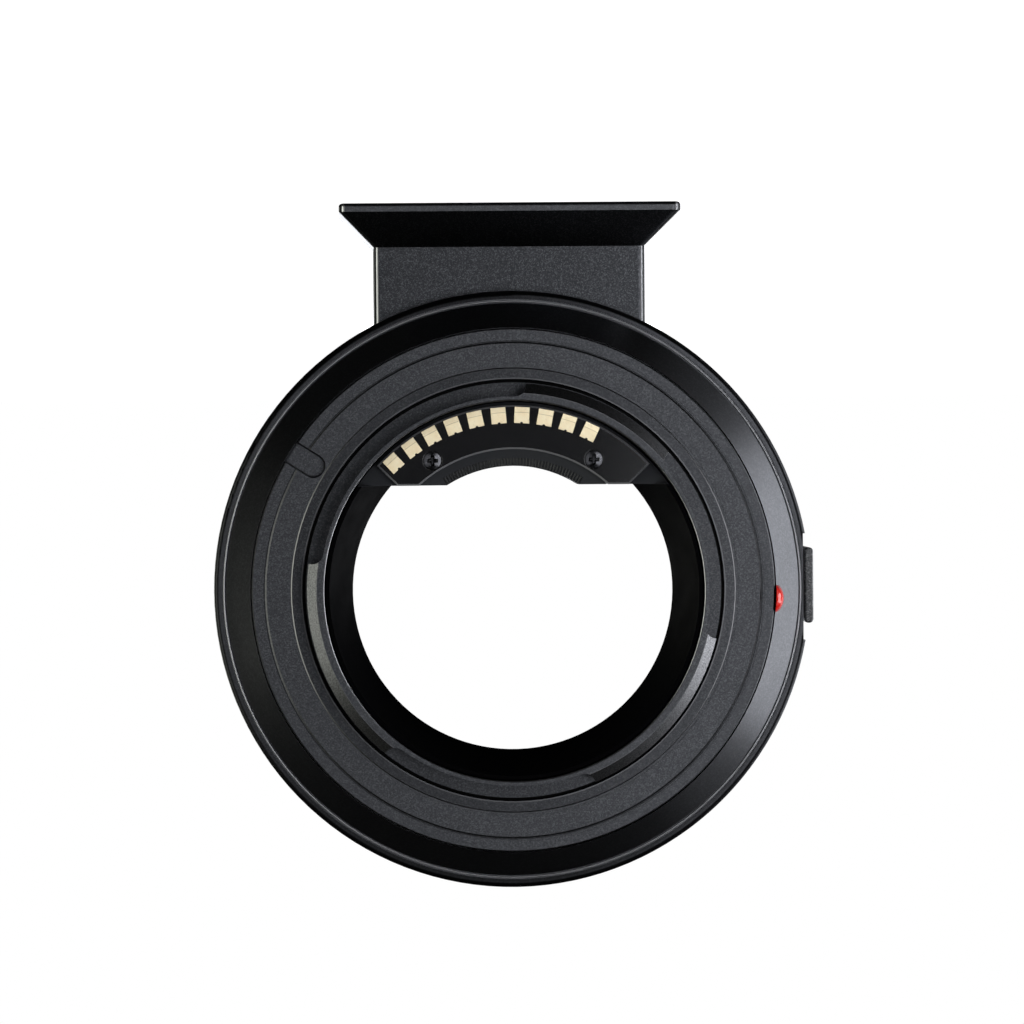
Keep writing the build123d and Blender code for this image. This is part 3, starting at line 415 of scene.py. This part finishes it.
mount_black, tree, shader, place, shade, cloud = blasted_black(
    "mount_black", (0.036, 0.037, 0.040), (0.054, 0.055, 0.059), 0.12 * MM, (0.084, 0.086, 0.091),
    0.004 * MM, 0.38, 0.02 * MM,
)
depth = add(tree, "SeparateXYZ", {0: place}).outputs["Y"]
radius = radius_from_axis(tree, place)
ahead = math_of(tree, "LESS_THAN", depth, nose_plane_y)
rubbed = math_of(tree, "MULTIPLY", ahead, math_of(tree, "GREATER_THAN", radius, nose_inner_radius))
scuffed = blend(tree, spread(tree, noise(tree, place, 0.13 * MM), 0.35, 0.65), nose_tone, nose_glint)
on_flange = math_of(tree, "GREATER_THAN", depth, land_plane_y)
land = math_of(tree, "MULTIPLY", on_flange, math_of(tree, "LESS_THAN", radius, land_radius))
burnished = blend(tree, 0.72, (0.0, 0.0, 0.0), shade)
shade = blend(tree, land, shade, burnished)
facing = add(tree, "SeparateXYZ", {0: add(tree, "TexCoord").outputs["Normal"]}).outputs["Y"]
facing = math_of(tree, "ABSOLUTE", facing, 0.0)
slanted = math_of(tree, "MULTIPLY", spread(tree, facing, 0.91, 0.80), spread(tree, facing, 0.45, 0.55))
# Painted highlight: slanted faces within 28 mm of the axis are painted paler.
wear_and_highlight = math_of(tree, "MULTIPLY", slanted, math_of(tree, "LESS_THAN", radius, slope_highlight_outer_radius))
shade = blend(tree, wear_and_highlight, shade, painted_highlight_tone)
sunk = math_of(tree, "GREATER_THAN", depth, relief_top_y)
# Painted highlight: a thin paler ring on the flange just outside the relief groove.
highlight_line = math_of(tree, "MULTIPLY", on_flange, math_of(tree, "COMPARE", radius, highlight_line_radius, highlight_line_half_width))
shade = blend(tree, math_of(tree, "MULTIPLY", highlight_line, 0.45), shade, painted_highlight_tone)
# Painted shade: the relief groove and the outer groove are darkened towards black.
groove_shade = math_of(tree, "COMPARE", radius, relief_radius, relief_half_width)
outer_groove_shade = math_of(tree, "COMPARE", radius, outer_groove_radius, outer_groove_half_width)
shallow = math_of(tree, "LESS_THAN", depth, outer_groove_floor_y)
outer_groove_shade = math_of(tree, "MULTIPLY", outer_groove_shade, math_of(tree, "MULTIPLY", shallow, 0.65))
groove_shade = math_of(tree, "MULTIPLY", sunk, math_of(tree, "MAXIMUM", groove_shade, outer_groove_shade))
# Painted shade: the flange's outer edge darkens towards black.
rim_shade = spread(tree, radius, rim_radius, rim_full_radius, 0.0, 0.7)
shade = blend(tree, math_of(tree, "MAXIMUM", groove_shade, rim_shade), shade, painted_shade_tone)
shade = blend(tree, rubbed, shade, scuffed)
# Painted highlight: the slanted edge round the bore at the bayonet's end is painted pale.
end_edge_highlight = math_of(tree, "MULTIPLY", slanted, math_of(tree, "LESS_THAN", depth, end_edge_y))
end_edge_highlight = math_of(tree, "MULTIPLY", end_edge_highlight, math_of(tree, "LESS_THAN", radius, end_edge_radius))
tree.links.new(blend(tree, end_edge_highlight, shade, end_edge_highlight_tone), shader.inputs["Base Color"])
smoothed = math_of(tree, "MULTIPLY_ADD", land, land_roughness - 0.38, cloud)
tree.links.new(smoothed, shader.inputs["Roughness"])
dress(mount_black, "camera_mount")


# Light baffle
# Moulded in black plastic, in one piece with the seat of the contact block. Its funnel is sprayed
# dead matt, and fine ribs on the seat's inner edge break up stray light.
def moulded(name, dark, light, grain, depth, roughness, edge_width, **more):
    """Moulded plastic: two close tones in fine lumps, with the same lumps as relief."""
    finish, tree, shader, place = finish_with(name, dark, roughness, **more)
    lumps = noise(tree, place, grain, 3.0)
    shade = blend(tree, spread(tree, lumps, 0.35, 0.65), dark, light)
    cloud = spread(tree, noise(tree, place, 20 * grain), 0.3, 0.7, roughness - 0.05, roughness + 0.05)
    paint(tree, shader, shade, cloud)
    relieve(tree, shader, lumps, depth, edge_width)
    return finish, tree, shader, place, shade


seat_chord = 11.65 * MM
seat_inner_radius = 13.75 * MM
seat_slope_depth = 0.4 * MM
block_inner_radius = 15.6 * MM
rib_pitch = 0.33 * MM
rib_length = 0.85 * MM
rib_rise = 0.13 * MM
rib_root = 0.05 * MM
rib_inset = 0.03 * MM
rib_steps = 8
seat_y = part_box("contact_block")[1].y
sprayed = (0.0025, 0.0025, 0.003)
bare_plastic = (0.058, 0.060, 0.065)
baffle_black, tree, shader, place, shade = moulded(
    "baffle_black", sprayed, (0.0040, 0.0040, 0.0045), 0.15 * MM, 0.008 * MM, 0.55, 0.04 * MM, Specular_IOR_Level=0.004
)
seat_height = axis_height - seat_chord
on_seat = math_of(tree, "LESS_THAN", add(tree, "SeparateXYZ", {0: place}).outputs["Z"], seat_height + rib_inset)
tree.links.new(blend(tree, on_seat, shade, bare_plastic), shader.inputs["Base Color"])
dress(baffle_black, "light_baffle")

seat_plastic, tree, shader, place, shade = moulded(
    "seat_plastic", (0.008, 0.009, 0.010), (0.015, 0.016, 0.018), 0.12 * MM, 0.006 * MM, 0.5, 0.03 * MM
)
half_span = math.acos(seat_chord / seat_inner_radius) - rib_inset / seat_inner_radius
rib_count = int(2 * half_span * seat_inner_radius / rib_pitch)
rib_angles = np.linspace(-np.pi / 2 - half_span, -np.pi / 2 + half_span, rib_count * rib_steps + 1)[:, None]
rib_wave = 0.5 - 0.5 * np.cos(2 * np.pi * np.arange(rib_count * rib_steps + 1) / rib_steps)[:, None]
rib_inner = seat_inner_radius + rib_inset
rib_radii = np.array([[rib_inner, rib_inner + rib_length, rib_inner + rib_length, rib_inner]])
fall = seat_slope_depth * (block_inner_radius - rib_radii) / (block_inner_radius - seat_inner_radius)
rib_lift = np.array([[-rib_root, -rib_root, 0.0, 0.0]])
rib_share = np.array([[0.0, 0.0, 0.3, 1.0]])
rib_depths = seat_y + fall - rib_lift - rib_share * rib_rise * rib_wave
rib_points = np.stack(
    [rib_radii * np.cos(rib_angles), rib_depths, axis_height + rib_radii * np.sin(rib_angles)], axis=-1
)
skin("seat_ribs", rib_points[None], seat_plastic)

# Contact block
# Gloss black moulding, held on its seat by two small screws. Its face is polished in the mould, with a
# faint waviness, and its slanted edges are painted paler as a painted highlight.
block_edge_highlight_tone = (0.24, 0.24, 0.25)
block_gloss, tree, shader, place, shade = moulded(
    "block_gloss", (0.011, 0.011, 0.013), (0.014, 0.014, 0.016), 1.8 * MM, 0.004 * MM, 0.15, 0.10 * MM,
    Specular_IOR_Level=0.6, Coat_Weight=0.3, Coat_Roughness=0.06,
)
facing = add(tree, "SeparateXYZ", {0: add(tree, "TexCoord").outputs["Normal"]}).outputs["Y"]
facing = math_of(tree, "ABSOLUTE", facing, 0.0)
# Painted highlight on the block's slanted edges.
block_edge_highlight = math_of(tree, "MULTIPLY", spread(tree, facing, 0.90, 0.80), spread(tree, facing, 0.45, 0.55))
tree.links.new(blend(tree, block_edge_highlight, shade, block_edge_highlight_tone), shader.inputs["Base Color"])
dress(block_gloss, "contact_block")

# Camera contacts
# Ten stamped strips, plated with pale gold and folded over the block. The fold is marked by a fine line of
# painted shade across the outer third of each pad, and the plating is scuffed by the camera's pins.
fold_radius = 19.65 * MM
fold_half_width = 0.035 * MM


def plated(name, pale, deep, roughness, grain):
    """Gold plating: two tones in soft patches, with fine scuffs that dull it."""
    finish, tree, shader, place = finish_with(name, pale, roughness, Metallic=1.0)
    patches = noise(tree, place, 5 * grain, 4.0)
    scuffs = noise(tree, place, grain, 5.0, 0.7)
    shade = blend(tree, spread(tree, patches, 0.35, 0.7), pale, deep)
    dulled = tuple(0.6 * tone for tone in deep)
    shade = blend(tree, spread(tree, scuffs, 0.60, 0.75, 0.0, 0.7), shade, dulled)
    paint(tree, shader, shade, spread(tree, scuffs, 0.3, 0.7, roughness - 0.06, roughness + 0.08))
    relieve(tree, shader, scuffs, 0.002 * MM, 0.05 * MM)
    return finish, tree, shader, place, shade


gold_plate, tree, shader, place, shade = plated("gold_plate", (0.90, 0.79, 0.55), (0.85, 0.71, 0.455), 0.41, 0.16 * MM)
# Painted shade: a fine dark line along the fold of each pad.
fold_shade = math_of(tree, "COMPARE", radius_from_axis(tree, place), fold_radius, fold_half_width)
crease_shaded = blend(tree, math_of(tree, "MULTIPLY", fold_shade, 0.55), shade, (0.35, 0.28, 0.15))
tree.links.new(crease_shaded, shader.inputs["Base Color"])
contacts = [name for name in nodes if name.startswith("camera_contact_")]
dress(gold_plate, *contacts)


# Screws
# Small cross recess screws and two socket screws, in blackened steel. The blackening is worn to a
# brighter tone in fine scratches, most on the two screws of the contact block.
def worn_metal(name, colour, wear_and_highlight, roughness, grain):
    """Metal with a skin that is worn through in fine scratches."""
    finish, tree, shader, place = finish_with(name, colour, roughness, Metallic=1.0)
    scratches = noise(tree, place, grain, 5.0, 0.75)
    patches = noise(tree, place, 8 * grain, 2.0)
    shade = blend(tree, spread(tree, scratches, 0.58, 0.72), colour, wear_and_highlight)
    paint(tree, shader, shade, spread(tree, patches, 0.3, 0.7, roughness - 0.06, roughness + 0.06))
    relieve(tree, shader, scratches, 0.003 * MM, 0.05 * MM)
    return finish


dark_steel = worn_metal("dark_steel", (0.055, 0.055, 0.060), (0.20, 0.20, 0.21), 0.26, 0.12 * MM)
dress(
    dark_steel, "camera_mount_screws", "baffle_screws", "lens_spring_screws", "pin_holder_screws",
    "button_screws", "foot_screws",
)
rubbed_steel = worn_metal("rubbed_steel", (0.04, 0.04, 0.043), (0.34, 0.34, 0.35), 0.20, 0.10 * MM)
dress(rubbed_steel, "contact_block_screws")

# Circuit board
# Ring segment of fibreglass board under green solder resist, which joins the contacts of both sides.
# Copper tracks show through the resist as paler arcs, and small tinned holes join the two faces.
track_pitch = 0.55 * MM
board_green, tree, shader, place = finish_with("board_green", (0.008, 0.07, 0.03), 0.32, Coat_Weight=0.3)
ring = math_of(tree, "PINGPONG", radius_from_axis(tree, place), track_pitch / 2)
track = spread(tree, ring, 0.20 * track_pitch, 0.26 * track_pitch)
areas = add(tree, "TexVoronoi", {"Vector": place, "Scale": 1 / (3.2 * MM)}, distance="CHEBYCHEV")
area = add(tree, "SeparateColor", {"Color": areas.outputs["Color"]}).outputs["Green"]
track = math_of(tree, "MULTIPLY", track, math_of(tree, "GREATER_THAN", area, 0.35))
holes = add(tree, "TexVoronoi", {"Vector": place, "Scale": 1 / (1.9 * MM)}).outputs["Distance"]
hole = spread(tree, holes, 0.14, 0.10)
resist = blend(tree, noise(tree, place, 0.8 * MM), (0.006, 0.055, 0.024), (0.010, 0.085, 0.036))
shade = blend(tree, track, resist, (0.018, 0.15, 0.055))
paint(tree, shader, blend(tree, hole, shade, (0.55, 0.52, 0.42)), spread(tree, noise(tree, place, 2 * MM), 0.3, 0.7, 0.26, 0.4))
relieve(tree, shader, track, 0.02 * MM, 0.03 * MM)
dress(board_green, "circuit_board")


# Solder joints
# The ten contacts' legs come through the board and are soldered on its lens side.
# Each joint is a cone of tin with hollow flanks.
def solder_cone(across, up, height, foot, tip):
    """Loops round a leg: the radius falls from foot to tip with the power 2.2 of the height left."""
    rise = np.linspace(0, 1, 9)[:, None]
    turn = np.linspace(0, 2 * np.pi, 24, endpoint=False)[None, :]
    radius = tip + (foot - tip) * (1 - rise) ** 2.2
    depth = board_top_y + rise * height + 0 * turn
    return np.stack([across + radius * np.cos(turn), depth, up + radius * np.sin(turn)], axis=-1)


board_low, board_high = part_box("circuit_board")
board_top_y = board_high.y
solder_height = 0.34 * MM
solder_foot = 0.72 * MM
solder_tip = 0.42 * MM
tin, tree, shader, place = finish_with("tin", (0.70, 0.70, 0.69), 0.3, Metallic=1.0)
puddle = noise(tree, place, 0.3 * MM, 3.0)
paint(tree, shader, blend(tree, puddle, (0.55, 0.55, 0.55), (0.80, 0.80, 0.78)), spread(tree, puddle, 0.3, 0.7, 0.2, 0.42))
relieve(tree, shader, puddle, 0.02 * MM, 0.03 * MM)
leg_middles = [(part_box(name)[0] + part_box(name)[1]) / 2 for name in contacts]
joints = [solder_cone(middle.x, middle.z, solder_height, solder_foot, solder_tip) for middle in leg_middles]
skin("solder_joints", np.stack(joints), tin)


# Chips
# A square controller and a smaller power chip, in moulded black packages on the board's lens side.
# Bent tinned leads at all four sides join them to the board.
def chip_leads(chip, side, height, count, pitch, width):
    """Loops of a flat strip carried along a bent path, out of a chip's side, down and out on the board."""
    low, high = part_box(chip)
    middle = (low + high) / 2
    out = np.array([-0.05, 0.12, 0.22, 0.30, 0.62]) * MM
    up = np.array([0.50, 0.50, 0.42, 0.06, 0.06]) * height / 0.9
    thick = 0.05 * MM
    strip_out = np.stack([out - thick / 2, out + thick / 2, out + thick / 2, out - thick / 2], axis=-1)
    strip_up = up[:, None] + np.array([[-thick, -thick, thick, thick]])
    strip_side = np.array([[-width, -width, width, width]]) / 2 * np.array([[1, -1, -1, 1]])
    bearing = math.atan2(middle.z - axis_height, middle.x)
    sides = bearing + np.repeat(np.arange(4), count) * np.pi / 2
    steps = np.tile((np.arange(count) - (count - 1) / 2) * pitch, 4)
    facing = sides[:, None, None]
    away = side / 2 + out[None, :, None] + 0 * strip_side[None]
    along = steps[:, None, None] + strip_side[None] + 0 * strip_out[None]
    x = middle.x + away * np.cos(facing) - along * np.sin(facing)
    z = middle.z + away * np.sin(facing) + along * np.cos(facing)
    y = board_top_y + strip_up[None] + 0 * x
    return np.stack([x, y, z], axis=-1)


chip_black, tree, shader, place, shade = moulded(
    "chip_black", (0.016, 0.016, 0.017), (0.024, 0.024, 0.025), 0.1 * MM, 0.006 * MM, 0.55, 0.05 * MM
)
dress(chip_black, "controller_chip", "power_chip")
skin("controller_leads", chip_leads("controller_chip", 5.0 * MM, 0.9 * MM, 8, 0.5 * MM, 0.22 * MM), tin)
skin("power_leads", chip_leads("power_chip", 3.2 * MM, 0.8 * MM, 4, 0.65 * MM, 0.3 * MM), tin)

# Lens mount
# Bayonet plate turned in steel and plated, with fine concentric tool marks on its face.
# Four sunk screws hold it on the barrel.
mount_steel = turned_steel("mount_steel", (0.66, 0.66, 0.64), 0.30, 0.12 * MM)
dress(mount_steel, "lens_mount")


# Springs
# Leaf springs stamped from strip, and coil springs wound from drawn wire with a grey, streaky skin.
# Each coil stands on a fixed end and is drawn to fill its part's box; on the adapter it closes up as its
# pin or the release carriage is pushed in.
def wound_coil(low, high, wire_radius, turns):
    """Loops of a round wire on a helix along Y that fills a box.

    The helix climbs evenly, apart from half a turn at each end that lies flat.
    """
    middle = (low + high) / 2
    coil_radius = (high.x - low.x) / 2 - wire_radius
    turn = np.linspace(0, turns, 32 * turns + 1)[:, None]
    share = np.clip((turn - 0.5) / (turns - 1), 0, 1)
    round_wire = np.linspace(0, 2 * np.pi, 12, endpoint=False)[None, :]
    away = coil_radius + wire_radius * np.cos(round_wire)
    climb = low.y + wire_radius + share * (high.y - low.y - 2 * wire_radius)
    y = climb + wire_radius * np.sin(round_wire)
    x = middle.x + away * np.cos(2 * np.pi * turn)
    z = middle.z + away * np.sin(2 * np.pi * turn)
    return np.stack([x, y, z], axis=-1)[None]


def coil_spring(name, node, wire_radius, turns):
    """Coil in place of a node, which is hidden; the coil gets a mesh of its own."""
    low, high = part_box(node)
    coil = skin(name, wound_coil(low, high, wire_radius, turns), spring_steel)
    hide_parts(node)
    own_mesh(coil)


spring_steel = worn_metal("spring_steel", (0.40, 0.40, 0.41), (0.62, 0.62, 0.62), 0.26, 0.09 * MM)
dress(spring_steel, "lens_spring_1", "lens_spring_2", "lens_spring_3")
pin_wire_radius = 0.11 * MM
release_wire_radius = 0.16 * MM
for number in range(1, 9):
    coil_spring(f"pin_coil_{number}", f"pin_spring_{number}", pin_wire_radius, 8)
coil_spring("release_coil", "release_spring", release_wire_radius, 5)

# Pin holder and pins
# Black moulding with a stepped channel for each sprung pin. The pins are turned in brass and
# plated with gold.
holder_black, tree, shader, place, shade = moulded(
    "holder_black", (0.012, 0.012, 0.013), (0.020, 0.020, 0.022), 0.12 * MM, 0.008 * MM, 0.45, 0.08 * MM
)
dress(holder_black, "pin_holder")
pin_gold, tree, shader, place, shade = plated("pin_gold", (0.88, 0.68, 0.34), (0.78, 0.56, 0.24), 0.24, 0.1 * MM)
dress(pin_gold, *[name for name in nodes if name.startswith("lens_pin_")])

# Release slider
# The button is moulded in black plastic, with cross ribs and a coarse grain that sparkles in places.
# Two screws hold it on a brass carriage that runs in the barrel's channel.
button_black, tree, shader, place, shade, cloud = blasted_black(
    "button_black", (0.014, 0.015, 0.016), (0.046, 0.047, 0.049), 0.13 * MM, (0.24, 0.24, 0.25),
    0.03 * MM, 0.34, 0.12 * MM,
)
shader.inputs["Metallic"].default_value = 0.0
dress(button_black, "release_button")
carriage_metal = worn_metal("carriage_metal", (0.52, 0.40, 0.20), (0.66, 0.54, 0.30), 0.34, 0.2 * MM)
dress(carriage_metal, "release_carriage")

# Index dots
# Beads of red enamel, poured into round holes so that they stand up as gloss domes.
# The pour draws each dome up, so it is rounder in the middle than a plain cap.
bead_bearing = math.radians(177.7)
bead_circle = 29.1 * MM
bead_y = -13.75 * MM
lens_dot_low, lens_dot_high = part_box("lens_index_dot")
lens_dot_middle = (lens_dot_low + lens_dot_high) / 2
camera_dot_place = (
    bead_circle * math.cos(bead_bearing), bead_y, axis_height + bead_circle * math.sin(bead_bearing)
)
draw_up = 240.0


def enamel(name, middle):
    """Red enamel whose relief falls with the square of the distance from the middle of its bead."""
    finish, tree, shader, place = finish_with(name, (0.80, 0.020, 0.012), 0.08)
    away = add(tree, "VectorMath", {0: place, 1: middle}, operation="DISTANCE").outputs["Value"]
    fall = math_of(tree, "MULTIPLY", math_of(tree, "POWER", away, 2.0), -draw_up)
    flow = noise(tree, place, 0.5 * MM)
    paint(tree, shader, blend(tree, flow, (0.80, 0.016, 0.010), (0.90, 0.032, 0.020)), spread(tree, flow, 0.0, 1.0, 0.03, 0.06))
    domed = add(tree, "Bump", {"Height": fall, "Strength": 1.0, "Distance": 1.0})
    tree.links.new(domed.outputs["Normal"], shader.inputs["Normal"])
    return finish


dress(enamel("red_enamel", camera_dot_place), "camera_index_dot")
dress(enamel("red_enamel_lens", (lens_dot_middle.x, lens_dot_middle.y, lens_dot_high.z)), "lens_index_dot")
